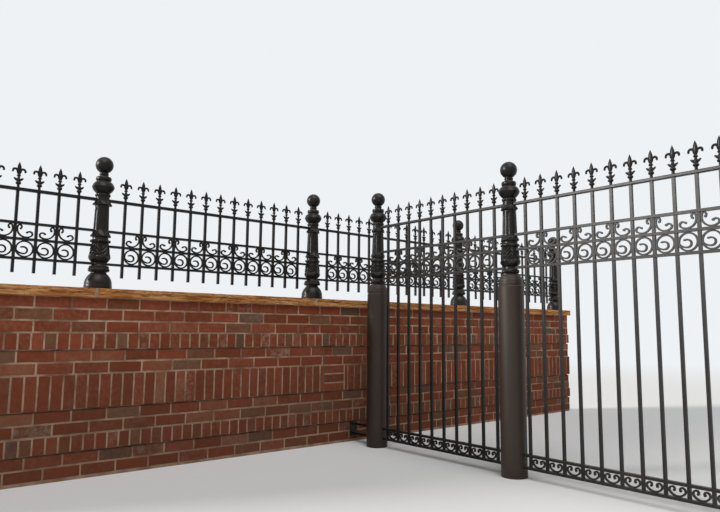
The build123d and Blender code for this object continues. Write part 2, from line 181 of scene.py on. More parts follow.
class Board:
    """The node tree of a material or of the world."""

    def __init__(self, owner: bpy.types.Material | bpy.types.World) -> None:
        """Take over a material or the world and empty its tree.

        Args:
            owner: What the tree belongs to.
        """
        owner.use_nodes = True
        self.owner = owner
        self.tree = owner.node_tree
        self.tree.nodes.clear()

    def node(
        self,
        kind: str,
        settings: dict[str, object] | None = None,
        values: dict[object, object] | None = None,
    ) -> bpy.types.Node:
        """Add one node, set it up and feed its sockets.

        Args:
            kind: Blender's name of the node type.
            settings: Attributes, and "stops" for a colour ramp, which are set first.
            values: Numbers, colours or Signals by socket name or place.

        Returns:
            The new node.
        """
        node = self.tree.nodes.new(kind)
        for name, value in (settings or {}).items():
            if name == "stops":
                self._set_stops(node, value)
            else:
                setattr(node, name, value)
        for name, value in (values or {}).items():
            target = node.inputs[name]
            if isinstance(value, Signal):
                self.tree.links.new(value.socket, target)
            elif isinstance(value, tuple) and len(value) == 3 and target.type == "RGBA":
                target.default_value = (*value, 1.0)
            else:
                target.default_value = value
        return node

    @staticmethod
    def _set_stops(node: bpy.types.Node, stops: Sequence[tuple[float, Colour]]) -> None:
        """Set the stops of a colour ramp.

        Args:
            node: The ramp node.
            stops: Place and colour of each stop, in order.
        """
        ramp = node.color_ramp
        while len(ramp.elements) < len(stops):
            ramp.elements.new(1.0)
        for element, (place, colour) in zip(ramp.elements, stops):
            element.position = place
            element.color = (*colour, 1.0)

    def out(self, node: bpy.types.Node, name: str) -> Signal:
        """Output of a node by name."""
        return Signal(self, node.outputs[name])

    def place(self) -> Signal:
        """Position on the object in metres."""
        return self.out(self.node("ShaderNodeTexCoord"), "Object")

    def attribute(self, name: str) -> Signal:
        """Number stored on the mesh under a name."""
        return self.out(self.node("ShaderNodeAttribute", {"attribute_name": name}), "Fac")

    def shifted(self, seed: Signal) -> Signal:
        """Position moved by a number of its own for each shape.

        Args:
            seed: The number.

        Returns:
            The moved position.
        """
        steps = {"X": seed, "Y": seed * SEED_TO_Y, "Z": seed * SEED_TO_Z}
        jump = self.out(self.node("ShaderNodeCombineXYZ", values=steps), "Vector")
        moved = self.node("ShaderNodeVectorMath", {"operation": "ADD"}, {0: self.place(), 1: jump})
        return self.out(moved, "Vector")

    def cloud(
        self,
        scale: float,
        detail: float = 4.0,
        stretch: Triple = (1.0, 1.0, 1.0),
        at: Signal | None = None,
    ) -> Signal:
        """Soft noise from 0 to 1.

        Args:
            scale: Waves per metre.
            detail: Octaves.
            stretch: Factors on the position along X, Y and Z.
            at: The position that is read, or None for the place on the object.

        Returns:
            The noise value.
        """
        sides = {0: self.place() if at is None else at, 1: stretch}
        scaled = self.node("ShaderNodeVectorMath", {"operation": "MULTIPLY"}, sides)
        values = {"Vector": self.out(scaled, "Vector"), "Scale": scale, "Detail": detail}
        values["Roughness"] = CLOUD_ROUGHNESS
        return self.out(self.node("ShaderNodeTexNoise", values=values), "Fac")

    def mask(self, patches: Patches, at: Signal | None = None) -> Signal:
        """Mask from 0 to 1 that follows patches of noise.

        Args:
            patches: The patches.
            at: The position that is read, or None for the place on the object.

        Returns:
            The mask.
        """
        value = self.cloud(patches.scale, patches.detail, patches.stretch, at)
        return value.step(patches.low, patches.high)

    def rough(self, coarse: Grain, fine: Grain) -> Signal:
        """Height of a surface with two layers of grain.

        Args:
            coarse: The first layer.
            fine: The second layer.

        Returns:
            The height, from 0 to 1.
        """
        first = self.cloud(coarse.scale, coarse.detail) * coarse.share
        return first + self.cloud(fine.scale, fine.detail) * fine.share

    def blend(self, factor: object, first: object, second: object) -> Signal:
        """Mix two colours.

        Args:
            factor: Share of the second colour, a number or a Signal.
            first: A colour or a Signal.
            second: A colour or a Signal.

        Returns:
            The mixed colour.
        """
        values = {"Factor": factor, MIX_FIRST: first, MIX_SECOND: second}
        node = self.node("ShaderNodeMix", {"data_type": "RGBA", "clamp_factor": True}, values)
        return Signal(self, node.outputs[MIX_RESULT])

    def ramp(self, value: Signal, stops: Sequence[tuple[float, Colour]]) -> Signal:
        """Colour ramp over a value.

        Args:
            value: The value that picks the colour.
            stops: Place and colour of each stop.

        Returns:
            The colour.
        """
        return self.out(self.node("ShaderNodeValToRGB", {"stops": stops}, {"Fac": value}), "Color")

    def painted_foot_shade(self) -> Signal:
        """Mask of painted shade that falls from 1 at the foot of the wall to 0 near its top."""
        parts = self.node("ShaderNodeSeparateXYZ", values={"Vector": self.place()})
        return 1.0 - self.out(parts, "Z").step(PAINTED_SHADE_FOOT, PAINTED_SHADE_TOP)

    def seen(self) -> Signal:
        """1 for rays of the camera and of reflections, 0 for those that only light."""
        rays = self.node("ShaderNodeLightPath")
        return self.out(rays, "Is Camera Ray") + self.out(rays, "Is Glossy Ray")

    def upward(self) -> Signal:
        """How far the surface faces the sky, from -1 to 1."""
        normal = self.out(self.node("ShaderNodeNewGeometry"), "Normal")
        return self.out(self.node("ShaderNodeSeparateXYZ", values={"Vector": normal}), "Z")

    def bump(self, height: Signal, strength: float, distance: float) -> Signal:
        """Normal bent by a height.

        Args:
            height: Height from 0 to 1.
            strength: Share of the bump that is used.
            distance: Height of the bump in metres.

        Returns:
            The new normal.
        """
        values = {"Height": height, "Strength": strength, "Distance": distance}
        return self.out(self.node("ShaderNodeBump", values=values), "Normal")

    def finish(self, veil: tuple[Signal, Colour] | None = None, **values: object) -> bpy.types.Material:
        """Close the tree with a Principled shader.

        Args:
            veil: Share and colour of a glow that covers the surface, or None.
            **values: Values of the shader's sockets, with spaces written as underscores.

        Returns:
            The finished material.
        """
        sockets = {name.replace("_", " "): value for name, value in values.items()}
        surface = self.out(self.node("ShaderNodeBsdfPrincipled", values=sockets), "BSDF")
        if veil is not None:
            glow = self.node("ShaderNodeEmission", values={"Color": veil[1], "Strength": 1.0})
            sides = {0: veil[0], 1: surface, 2: self.out(glow, "Emission")}
            surface = self.out(self.node("ShaderNodeMixShader", values=sides), "Shader")
        self.node("ShaderNodeOutputMaterial", values={"Surface": surface})
        return self.owner


@dataclass(frozen=True)
class IronPaint:
    """Satin dark paint over iron, dusty where it faces the sky."""

    name: str
    colour: Colour = (0.0085, 0.0066, 0.0056)
    worn_colour: Colour = (0.024, 0.0185, 0.0155)
    dust_colour: Colour = (0.075, 0.063, 0.052)
    worn: float = 0.55
    dusty: float = 0.55
    roughness: float = 0.27
    roughness_play: float = 0.16
    dust_roughness: float = 0.2
    specular: float = 0.22
    roughness_waves: float = 31.0
    wear: Patches = Patches(7.0, 5.0, 0.42, 0.75)
    dust: Patches = Patches(22.0, 4.0, 0.3, 0.75)
    facing_sky: Pair = (0.35, 1.0)
    grain: Grain = Grain(260.0, 3.0, 0.6)
    waves: Grain = Grain(48.0, 3.0, 0.4)
    grain_height: float = 0.0006
    grain_share: float = 0.35

    def build(self) -> bpy.types.Material:
        """Make the material.

        Returns:
            The finished material.
        """
        board = Board(bpy.data.materials.new(self.name))
        body = board.blend(board.mask(self.wear) * self.worn, self.colour, self.worn_colour)
        dust = board.upward().step(*self.facing_sky) * board.mask(self.dust)
        height = board.rough(self.grain, self.waves)
        play = board.cloud(self.roughness_waves) * self.roughness_play
        return board.finish(
            Base_Color=board.blend(dust * self.dusty, body, self.dust_colour),
            Roughness=self.roughness + play + dust * self.dust_roughness,
            Metallic=0.0,
            Specular_IOR_Level=self.specular,
            Normal=board.bump(height, self.grain_share, self.grain_height),
        )


@dataclass(frozen=True)
class FiredBrick:
    """Fired clay bricks whose tone changes from brick to brick and within each one.

    Mottle and speckle hold the waves per metre and the octaves of their noise. Here and in the finishes
    below, bump holds its strength and its height in metres.
    """

    name: str = "fired_brick"
    tones: tuple[tuple[float, Colour], ...] = (
        (0.00, (0.125, 0.066, 0.042)),
        (0.14, (0.180, 0.102, 0.062)),
        (0.30, (0.188, 0.074, 0.036)),
        (0.48, (0.176, 0.045, 0.019)),
        (0.66, (0.222, 0.053, 0.023)),
        (0.84, (0.272, 0.066, 0.031)),
        (1.00, (0.275, 0.118, 0.062)),
    )
    mottle: Pair = (17.0, 5.0)
    speckle: Pair = (70.0, 5.0)
    bloom: Patches = Patches(38.0, 6.0, 0.40, 0.70)
    scorch: Patches = Patches(13.0, 5.0, 0.55, 0.80, (1.0, 1.0, 1.6))
    pits: Patches = Patches(310.0, 4.0, 0.60, 0.74)
    face: Grain = Grain(90.0, 6.0, 0.7)
    sand: Grain = Grain(420.0, 3.0, 0.3)
    bloom_colour: Colour = (0.420, 0.300, 0.240)
    # Dark of the scorch marks and pits, also used for the painted shade at the foot of the wall
    scorch_and_shade_colour: Colour = (0.075, 0.034, 0.021)
    mottled: float = 0.40
    speckled: float = 0.20
    bloomed: float = 0.7
    scorched: float = 0.5
    # Share of the painted shade at the foot of the wall
    painted_foot_shade: float = 0.5
    pitted: float = 0.4
    pit_depth: float = 0.5
    roughness: float = 0.88
    roughness_play: float = 0.1
    roughness_waves: float = 40.0
    specular: float = 0.1
    bump: Pair = (0.65, 0.0016)

    def build(self) -> bpy.types.Material:
        """Make the material.

        Returns:
            The finished material.
        """
        board = Board(bpy.data.materials.new(self.name))
        own = board.shifted(board.attribute("seed"))
        mottle = (board.cloud(*self.mottle, at=own) - 0.5) * self.mottled
        speckle = (board.cloud(*self.speckle, at=own) - 0.5) * self.speckled
        body = board.ramp(board.attribute("tone") + mottle + speckle, self.tones)
        bloom = board.attribute("bloom") * board.mask(self.bloom, own)
        body = board.blend(bloom * self.bloomed, body, self.bloom_colour)
        body = board.blend(board.mask(self.scorch, own) * self.scorched, body, self.scorch_and_shade_colour)
        # Painted shade: the bricks grow darker towards the foot of the wall
        body = board.blend(board.painted_foot_shade() * self.painted_foot_shade, body, self.scorch_and_shade_colour)
        pits = board.mask(self.pits)
        height = board.rough(self.face, self.sand) - pits * self.pit_depth
        play = board.cloud(self.roughness_waves) * self.roughness_play
        return board.finish(
            Base_Color=board.blend(pits * self.pitted, body, self.scorch_and_shade_colour),
            Roughness=self.roughness + play,
            Specular_IOR_Level=self.specular,
            Normal=board.bump(height, *self.bump),
        )


@dataclass(frozen=True)
class LimeMortar:
    """Sandy mortar stained by the bricks."""

    name: str = "lime_mortar"
    colour: Colour = (0.560, 0.395, 0.280)
    # Dark of the stains, also used for the painted shade at the foot of the wall
    dark_colour: Colour = (0.185, 0.102, 0.064)
    stain: Patches = Patches(6.0, 7.0, 0.36, 0.64)
    grit: Grain = Grain(520.0, 3.0, 0.6)
    lumps: Grain = Grain(120.0, 4.0, 0.4)
    stained: float = 0.8
    gritty: float = 0.2
    # Share of the painted shade at the foot of the wall
    painted_foot_shade: float = 0.45
    roughness: float = 0.95
    specular: float = 0.1
    bump: Pair = (0.8, 0.0018)

    def build(self) -> bpy.types.Material:
        """Make the material.

        Returns:
            The finished material.
        """
        board = Board(bpy.data.materials.new(self.name))
        stain = board.mask(self.stain)
        grit = board.cloud(self.grit.scale, self.grit.detail)
        lumps = board.cloud(self.lumps.scale, self.lumps.detail)
        height = grit * self.grit.share + lumps * self.lumps.share
        body = board.blend(stain * self.stained + grit * self.gritty, self.colour, self.dark_colour)
        return board.finish(
            # Painted shade: the mortar grows darker towards the foot of the wall
            Base_Color=board.blend(board.painted_foot_shade() * self.painted_foot_shade, body, self.dark_colour),
            Roughness=self.roughness,
            Specular_IOR_Level=self.specular,
            Normal=board.bump(height, *self.bump),
        )


@dataclass(frozen=True)
class JointSealant:
    """Dull olive filler of the movement joint. Shade holds the waves per metre and the octaves."""

    name: str = "joint_sealant"
    colour: Colour = (0.105, 0.080, 0.052)
    dark_colour: Colour = (0.07, 0.055, 0.038)
    shade: Pair = (30.0, 4.0)
    shaded: float = 0.4
    roughness: float = 0.7
    bump: Pair = (0.4, 0.001)

    def build(self) -> bpy.types.Material:
        """Make the material.

        Returns:
            The finished material.
        """
        board = Board(bpy.data.materials.new(self.name))
        shade = board.cloud(*self.shade)
        body = board.blend(shade * self.shaded, self.colour, self.dark_colour)
        normal = board.bump(shade, *self.bump)
        return board.finish(Base_Color=body, Roughness=self.roughness, Normal=normal)


@dataclass(frozen=True)
class SplitSandstone:
    """Rough golden sandstone with rusty bands, and painted shade that darkens its crevices and chiselled hollows.

    Bands hold the waves per metre, the octaves and the stretch of their noise, stops the values at which
    it is dark, warm, pale and warm again.
    """

    name: str = "split_sandstone"
    pale: Colour = (0.640, 0.330, 0.130)
    warm: Colour = (0.480, 0.195, 0.056)
    dark: Colour = (0.180, 0.068, 0.022)
    bands: tuple[float, float, Triple] = (9.0, 6.0, (0.45, 1.0, 3.4))
    stops: tuple[float, float, float, float] = (0.26, 0.42, 0.60, 0.84)
    seams: Patches = Patches(30.0, 6.0, 0.57, 0.76, (0.5, 1.0, 2.0))
    speckle: Patches = Patches(210.0, 5.0, 0.55, 0.75)
    weather: Patches = Patches(6.0, 5.0, 0.35, 0.65)
    facing_sky: Pair = (0.5, 1.0)
    lumps: Grain = Grain(60.0, 7.0, 0.7)
    sand: Grain = Grain(240.0, 4.0, 0.3)
    seamed: float = 0.4
    speckled: float = 0.3
    # Share of the painted shade in the crevices and chiselled hollows
    hollowed: float = 0.6
    weathered: float = 0.35
    roughness: float = 0.92
    specular: float = 0.1
    bump: Pair = (0.8, 0.004)

    def build(self) -> bpy.types.Material:
        """Make the material.

        Returns:
            The finished material.
        """
        board = Board(bpy.data.materials.new(self.name))
        stops = tuple(zip(self.stops, (self.dark, self.warm, self.pale, self.warm)))
        body = board.ramp(board.cloud(*self.bands), stops)
        weather = board.upward().step(*self.facing_sky) * board.mask(self.weather)
        stains = (
            board.mask(self.seams) * self.seamed,
            board.mask(self.speckle) * self.speckled,
            # painted shade in the crevices and chiselled hollows
            board.attribute("hollow") * self.hollowed,
            weather * self.weathered,
        )
        for share in stains:
            body = board.blend(share, body, self.dark)
        height = board.rough(self.lumps, self.sand)
        return board.finish(
            Base_Color=body,
            Roughness=self.roughness,
            Specular_IOR_Level=self.specular,
            Normal=board.bump(height, *self.bump),
        )


@dataclass(frozen=True)
class StudioPaper:
    """Plain pale floor of the studio, which runs into the backdrop far from the object."""

    name: str = "studio_floor"
    colour: Colour = (0.80, 0.795, 0.785)
    clear: float = 6.5
    lost: float = 17.0
    roughness: float = 0.95
    specular: float = 0.2

    def build(self) -> bpy.types.Material:
        """Make the material.

        Returns:
            The finished material.
        """
        board = Board(bpy.data.materials.new(self.name))
        reach = board.node("ShaderNodeVectorMath", {"operation": "LENGTH"}, {0: board.place()})
        far = board.out(reach, "Value").step(self.clear, self.lost)
        return board.finish(
            Base_Color=self.colour,
            Roughness=self.roughness,
            Specular_IOR_Level=self.specular,
            veil=(far * board.seen(), BACKDROP),
        )


class Shading(Enum):
    """How the faces of a mesh catch the light."""

    FLAT = "flat"
    CREASED = "creased"


@dataclass
class Draft:
    """Points, faces and per-point values of one piece before it becomes a mesh."""

    points: list[np.ndarray] = field(default_factory=list)
    faces: list[Face] = field(default_factory=list)
    marks: dict[str, list[np.ndarray]] = field(default_factory=dict)
    count: int = 0

    def add(self, points: np.ndarray, faces: Sequence[Face], **marks: float | np.ndarray) -> None:
        """Add one closed shape.

        Args:
            points: Its points, one row each.
            faces: Its faces as places in points.
            **marks: One number for all its points, or one for each, by name.
        """
        self.points.append(points)
        self.faces.extend(tuple(place + self.count for place in face) for face in faces)
        for name, value in marks.items():
            self.marks.setdefault(name, []).append(np.full(len(points), value))
        self.count += len(points)

    def to_piece(
        self,
        name: str,
        material: bpy.types.Material,
        slot: str,
        shading: Shading,
        replaces: Sequence[str] = (),
    ) -> None:
        """Turn the draft into a piece of the model.

        Args:
            name: The piece's name.
            material: Its finish.
            slot: The record's material slot, not used.
            shading: How its faces catch the light.
            replaces: The CAD nodes that it stands for.
        """
        mesh = bpy.data.meshes.new(name)
        mesh.from_pydata(np.vstack(self.points).tolist(), [], self.faces)
        for mark, values in self.marks.items():
            layer = mesh.attributes.new(mark, "FLOAT", "POINT")
            layer.data.foreach_set("value", np.concatenate(values).astype(np.float32))
        mesh.materials.append(material)
        shade(mesh, shading)
        mesh.update()
        piece = bpy.data.objects.new(name, mesh)
        bpy.context.scene.collection.objects.link(piece)
        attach(piece, "root")
        if replaces:
            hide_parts(*replaces)
        log.info("%s: %d faces", name, len(mesh.polygons))


def shade(mesh: bpy.types.Mesh, shading: Shading, crease: float = 32.0) -> None:
    """Set how a mesh catches the light.

    Args:
        mesh: The mesh.
        shading: The way it is shaded.
        crease: Angle in degrees above which an edge stays sharp.
    """
    if shading is Shading.FLAT:
        mesh.shade_flat()
    else:
        mesh.shade_smooth()
        mesh.set_sharp_from_angle(angle=math.radians(crease))


def turned(profile: Sequence[Pair], segments: int, relief: Relief | None = None) -> Form:
    """Turn a profile about Z, with an optional relief on its radius.

    Args:
        profile: Radius and height of each point, from the bottom up, in millimetres.
        segments: Points around.
        relief: Takes the angles and heights and gives what is added to the radius, in metres.

    Returns:
        Points and faces of a closed shape, in metres.
    """
    outline = np.array(profile) * MM
    angles = np.arange(segments) * 2 * math.pi / segments
    turn, height = np.meshgrid(angles, outline[:, 1])
    radius = np.repeat(outline[:, :1], segments, axis=1)
    if relief is not None:
        radius = np.maximum(radius + relief(turn, height), SMALLEST_RADIUS)
    rings = np.stack([radius * np.cos(turn), radius * np.sin(turn), height], axis=2).reshape(-1, 3)
    points = np.vstack([rings, [[0, 0, outline[0, 1]], [0, 0, outline[-1, 1]]]])
    foot, top = len(rings), len(rings) + 1
    last = (len(outline) - 1) * segments
    faces: list[Face] = []
    for start in range(0, last, segments):
        above = start + segments
        for place in range(segments):
            beside = (place + 1) % segments
            faces.append((start + place, start + beside, above + beside, above + place))
    for place in range(segments):
        beside = (place + 1) % segments
        faces.append((foot, beside, place))
        faces.append((top, last + place, last + beside))
    return points, faces


def skin(rings: int, around: int) -> list[Face]:
    """Faces of a bar whose points lie ring after ring, closed at both ends.

    Args:
        rings: Number of rings.
        around: Points on each ring.

    Returns:
        The faces, the two ends last.
    """
    last = (rings - 1) * around
    faces: list[Face] = []
    for start in range(0, last, around):
        ahead = start + around
        for place in range(around):
            beside = (place + 1) % around
            faces.append((start + place, ahead + place, ahead + beside, start + beside))
    return [*faces, tuple(range(around)), tuple(reversed(range(last, last + around)))]


def drawn_tube(path: np.ndarray, widths: np.ndarray, depths: np.ndarray, sides: int) -> Form:
    """Oval bar along a path that lies in the XZ plane.

    Args:
        path: X and Z of each station.
        widths: Half width in the plane at each station.
        depths: Half depth along Y at each station.
        sides: Points around.

    Returns:
        Points and faces of a closed shape.
    """
    heading = np.gradient(path, axis=0)
    heading /= np.linalg.norm(heading, axis=1)[:, None]
    across = np.stack([-heading[:, 1], heading[:, 0]], axis=1)
    angles = np.arange(sides) * 2 * math.pi / sides
    rings = []
    for station, side, width, depth in zip(path, across, widths, depths):
        in_plane = station[None, :] + side[None, :] * (np.cos(angles) * width)[:, None]
        rings.append(np.stack([in_plane[:, 0], np.sin(angles) * depth, in_plane[:, 1]], axis=1))
    return np.vstack(rings), skin(len(path), sides)


BOX_SIGNS = [(x, y, z) for x in (-1, 1) for y in (-1, 1) for z in (-1, 1)]


def worn_box(size: Sequence[float], worn: float) -> Form:
    """Box with broken edges and corners, about its middle.

    Args:
        size: Length along X, Y and Z.
        worn: Width of the broken edge.

    Returns:
        Points and faces of a closed shape.
    """
    half = np.array(size) / 2
    points = []
    for signs in BOX_SIGNS:
        for axis in range(3):
            corner = np.array(signs) * (half - worn)
            corner[axis] = signs[axis] * half[axis]
            points.append(corner)
    index = {signs: place * 3 for place, signs in enumerate(BOX_SIGNS)}
    faces: list[Face] = []
    for axis in range(3):
        first, second = [other for other in range(3) if other != axis]
        for side in (-1, 1):
            loop = []
            for a, b in ((-1, -1), (1, -1), (1, 1), (-1, 1)):
                signs = [0, 0, 0]
                signs[axis], signs[first], signs[second] = side, a, b
                loop.append(index[tuple(signs)] + axis)
            faces.append(tuple(loop if (side > 0) != (axis == 1) else reversed(loop)))
        for a in (-1, 1):
            for b in (-1, 1):
                low, high = [0, 0, 0], [0, 0, 0]
                low[axis], high[axis] = -1, 1
                low[first] = high[first] = a
                low[second] = high[second] = b
                low_place, high_place = index[tuple(low)], index[tuple(high)]
                edge = (low_place + first, high_place + first, high_place + second, low_place + second)
                faces.append(edge if (a * b > 0) != (axis == 1) else tuple(reversed(edge)))
    for signs in BOX_SIGNS:
        place = index[signs]
        corner_face = (place, place + 1, place + 2)
        faces.append(corner_face if signs[0] * signs[1] * signs[2] > 0 else tuple(reversed(corner_face)))
    return np.array(points), faces


def arc(start: Pair, through: Pair, end: Pair, steps: int = 8) -> list[Pair]:
    """Points of the circular arc through three points.

    Args:
        start: First point.
        through: A point on the way.
        end: Last point.
        steps: Number of stretches.

    Returns:
        The points, the ends included.
    """
    (ax, ay), (bx, by), (cx, cy) = start, through, end
    area = 2 * (ax * (by - cy) + bx * (cy - ay) + cx * (ay - by))
    squares = (ax * ax + ay * ay, bx * bx + by * by, cx * cx + cy * cy)
    mid_x = (squares[0] * (by - cy) + squares[1] * (cy - ay) + squares[2] * (ay - by)) / area
    mid_y = (squares[0] * (cx - bx) + squares[1] * (ax - cx) + squares[2] * (bx - ax)) / area
    radius = math.hypot(ax - mid_x, ay - mid_y)
    first = math.atan2(ay - mid_y, ax - mid_x)
    full = 2 * math.pi
    on_way = (math.atan2(by - mid_y, bx - mid_x) - first) % full
    turn = (math.atan2(cy - mid_y, cx - mid_x) - first) % full
    if on_way > turn:
        turn -= full
    angles = [first + turn * step / steps for step in range(steps + 1)]
    return [(mid_x + radius * math.cos(angle), mid_y + radius * math.sin(angle)) for angle in angles]


def dense(outline: Sequence[Pair], zones: Sequence[Pair], fine: float, coarse: float) -> list[Pair]:
    """Outline with points put in where the steps between them are long.

    Args:
        outline: Radius and height of each point.
        zones: Lowest and highest place of each stretch that carries ornament.
        fine: Longest step inside those stretches.
        coarse: Longest step elsewhere.

    Returns:
        The closer outline.
    """
    points = [outline[0]]
    for (radius, level), (next_radius, next_level) in zip(outline, outline[1:]):
        middle = (level + next_level) / 2
        step = fine if any(low <= middle <= high for low, high in zones) else coarse
        count = max(math.ceil(math.hypot(next_radius - radius, next_level - level) / step), 1)
        for part in range(1, count + 1):
            share = part / count
            points.append((radius + (next_radius - radius) * share, level + (next_level - level) * share))
    return points


def smooth_step(value: np.ndarray, low: float, high: float) -> np.ndarray:
    """Smooth step from 0 to 1 as a value goes from low to high, or from 1 to 0 where high is the lower."""
    share = np.clip((value - low) / (high - low), 0.0, 1.0)
    return share * share * (3 - 2 * share)


def within(level: np.ndarray, zone: Zone) -> np.ndarray:
    """Mask that is 1 inside a stretch of heights and fades to 0 at both ends.

    Args:
        level: Heights.
        zone: Where it starts, where it is full, where it starts to fade and where it ends.

    Returns:
        The mask, from 0 to 1.
    """
    start, full, fading, end = zone
    return smooth_step(level, start, full) * smooth_step(level, end, fading)


@dataclass(frozen=True)
class Finishes:
    """Every material of the railing, the wall and the studio."""

    bar: bpy.types.Material
    casting: bpy.types.Material
    column: bpy.types.Material
    finial: bpy.types.Material
    brick: bpy.types.Material
    mortar: bpy.types.Material
    sealant: bpy.types.Material
    stone: bpy.types.Material
    paper: bpy.types.Material


class Bond(Enum):
    """Way in which the bricks of a course lie."""

    STRETCHER = "stretcher"
    ROWLOCK = "rowlock"
    SOLDIER = "soldier"


@dataclass(frozen=True)
class Course:
    """One course of the wall, with heights and lengths in millimetres."""

    foot: float
    top: float
    bond: Bond
    phase: float
    pitch: float
    proud: float = 0.0


@dataclass(frozen=True)
class Room:
    """Room that one block of the wall takes up, in millimetres.

    It has a start and end along the wall, a front and back from the wall's middle plane, a foot and a top.
    """

    span: Pair
    depth: Pair
    level: Pair


@dataclass
class BrickWall:
    """Two-brick-thick wall with two rowlock bands and a soldier band that stand proud.

    A movement joint runs down the front face under the upper rowlock band, with a patch of
    stretchers laid beside it in the soldier band.
    """

    finishes: Finishes
    left: float = -3446.0
    right: float = 3446.0
    middle_y: float = WALL_Y
    half_thickness: float = 97.0
    joint: float = 10.0
    wythe: float = 92.0
    recess: float = 3.0
    undercut: float = 10.0
    worn: float = 2.6
    shortest: float = 22.0
    split_x: float = -3.0
    split_foot: float = 258.0
    split_top: float = 747.0
    split_recess: float = 1.5
    split_margin: float = 2.0
    patch_end: float = 200.0
    patch_rows: int = 3
    patch_pitch: float = 68.3
    usual_tone: Pair = (0.66, 0.13)
    tone_limits: Pair = (0.42, 0.98)
    dark_share: float = 0.08
    dark_tones: Pair = (-0.05, 0.12)
    odd_share: float = 0.22
    brown_tones: Pair = (0.18, 0.38)
    bloom_share: float = 0.06
    strong_bloom: Pair = (0.5, 1.0)
    faint_bloom: float = 0.3
    sunk: float = 1.2
    height_play: float = 1.5
    tilt: float = 0.0035
    seeds: float = 9.0
    chance_seed: int = 71
    courses: tuple[Course, ...] = (
        Course(990, 1061, Bond.STRETCHER, 153, 203),
        Course(919, 990, Bond.STRETCHER, 52, 203),
        Course(848, 919, Bond.STRETCHER, 155, 203),
        Course(747, 848, Bond.ROWLOCK, 62, 68.6, 8),
        Course(676, 747, Bond.STRETCHER, 78, 203),
        Course(605, 676, Bond.STRETCHER, 185, 203),
        Course(400, 605, Bond.SOLDIER, 40, 68.7, 8),
        Course(329, 400, Bond.STRETCHER, 186, 203),
        Course(258, 329, Bond.STRETCHER, 87, 203),
        Course(157, 258, Bond.ROWLOCK, 34, 68.6, 8),
        Course(86, 157, Bond.STRETCHER, 153, 203),
        Course(15, 86, Bond.STRETCHER, 52, 203),
    )

    def build(self) -> None:
        """Lay the bricks, then fill the joints."""
        self._lay_bricks()
        self._fill_joints()
        self._seal_split()

    def _spans(self, course: Course) -> Iterator[Pair]:
        """Start and end of every brick of a course, cut at the ends of the wall.

        Args:
            course: The course.

        Yields:
            Start and end in millimetres.
        """
        left = self.left - course.proud
        right = self.right + course.proud
        edge = self.left + course.phase % course.pitch - course.pitch
        while edge < right:
            start = max(edge + self.joint / 2, left)
            end = min(edge + course.pitch - self.joint / 2, right)
            if end - start > self.shortest:
                yield start, end
            edge += course.pitch

    def _cut(self, span: Pair, course: Course) -> list[Pair]:
        """What is left of a brick of the front row beside the movement joint and the patch.

        Args:
            span: Start and end of the brick.
            course: Its course.

        Returns:
            Start and end of each rest.
        """
        if not self.split_foot <= course.foot < self.split_top:
            return [span]
        blocked_end = self.patch_end if course.bond is Bond.SOLDIER else self.split_x
        rests = [
            (span[0], min(span[1], self.split_x - self.joint / 2)),
            (max(span[0], blocked_end + self.joint / 2), span[1]),
        ]
        return [rest for rest in rests if rest[1] - rest[0] > self.shortest]

    def _rows(self, course: Course) -> list[tuple[float, float, list[Pair]]]:
        """Rows of bricks that a course has, one behind the other.

        Args:
            course: The course.

        Returns:
            Front, back and spans of each row, with depths from the middle plane.
        """
        outer = self.half_thickness + course.proud
        spans = list(self._spans(course))
        if course.bond is Bond.ROWLOCK:
            return [(-outer, outer, spans)]
        inner = self.half_thickness - self.wythe
        front = [rest for span in spans for rest in self._cut(span, course)]
        return [(-outer, -inner, front), (inner, outer, spans)]

    def _block(
        self, draft: Draft, room: Room, worn: float = 0.5, tilt: float = 0.0, **marks: float
    ) -> None:
        """Add one block.

        Args:
            draft: The draft it is added to.
            room: The room it takes up.
            worn: Width of its broken edges in millimetres.
            tilt: Turn about Y in radians.
            **marks: Values that its points carry, by name.
        """
        ends = np.array([room.span, room.depth, room.level])
        points, faces = worn_box((ends[:, 1] - ends[:, 0]) * MM, worn * MM)
        points = points @ np.array(Matrix.Rotation(tilt, 3, "Y")).T
        middle = ends.mean(axis=1) + np.array([0.0, self.middle_y, 0.0])
        draft.add(points + middle * MM, faces, **marks)

    def _brick(self, draft: Draft, chance: random.Random, room: Room, even: bool) -> None:
        """Lay one brick.

        Args:
            draft: The draft it is added to.
            chance: Source of its tone, size and tilt.
            room: The room it may take up.
            even: True where no brick is dark or brown.
        """
        low, high = self.tone_limits
        usual = min(max(chance.gauss(*self.usual_tone), low), high)
        tone = usual
        rare = chance.random()
        if rare < self.dark_share:
            tone = chance.uniform(*self.dark_tones)
        elif rare < self.odd_share:
            tone = chance.uniform(*self.brown_tones)
        if even:
            tone = usual
        strong = chance.random() < self.bloom_share
        bloom = chance.uniform(*self.strong_bloom) if strong else chance.random() * self.faint_bloom
        sunk = chance.random() * self.sunk
        front, back = room.depth
        depth = (front + (sunk if front < 0 else 0.0), back - (sunk if back > 0 else 0.0))
        play = chance.random() * self.height_play / 2
        tilt = chance.gauss(0, self.tilt)
        seed = chance.random() * self.seeds
        laid = Room(room.span, depth, (room.level[0] + play, room.level[1] - play))
        self._block(draft, laid, self.worn, tilt, tone=tone, bloom=bloom, seed=seed)

    def _lay_bricks(self) -> None:
        """Lay every brick of every course as one piece."""
        draft = Draft()
        chance = random.Random(self.chance_seed)
        half = self.joint / 2
        for course in self.courses:
            level = (course.foot + half, course.top - half)
            even = course.bond is Bond.SOLDIER
            for near, far, spans in self._rows(course):
                for span in spans:
                    self._brick(draft, chance, Room(span, (near, far), level), even)
            if even:
                patch = (self.split_x + half, self.patch_end - half)
                depth = (-self.half_thickness - course.proud, self.wythe - self.half_thickness)
                for step in range(self.patch_rows):
                    foot = course.foot + half + step * self.patch_pitch
                    level = (foot, foot + self.patch_pitch - self.joint)
                    self._brick(draft, chance, Room(patch, depth, level), even)
        draft.to_piece("wall_bricks", self.finishes.brick, "brick", Shading.FLAT, ["brick_wall"])

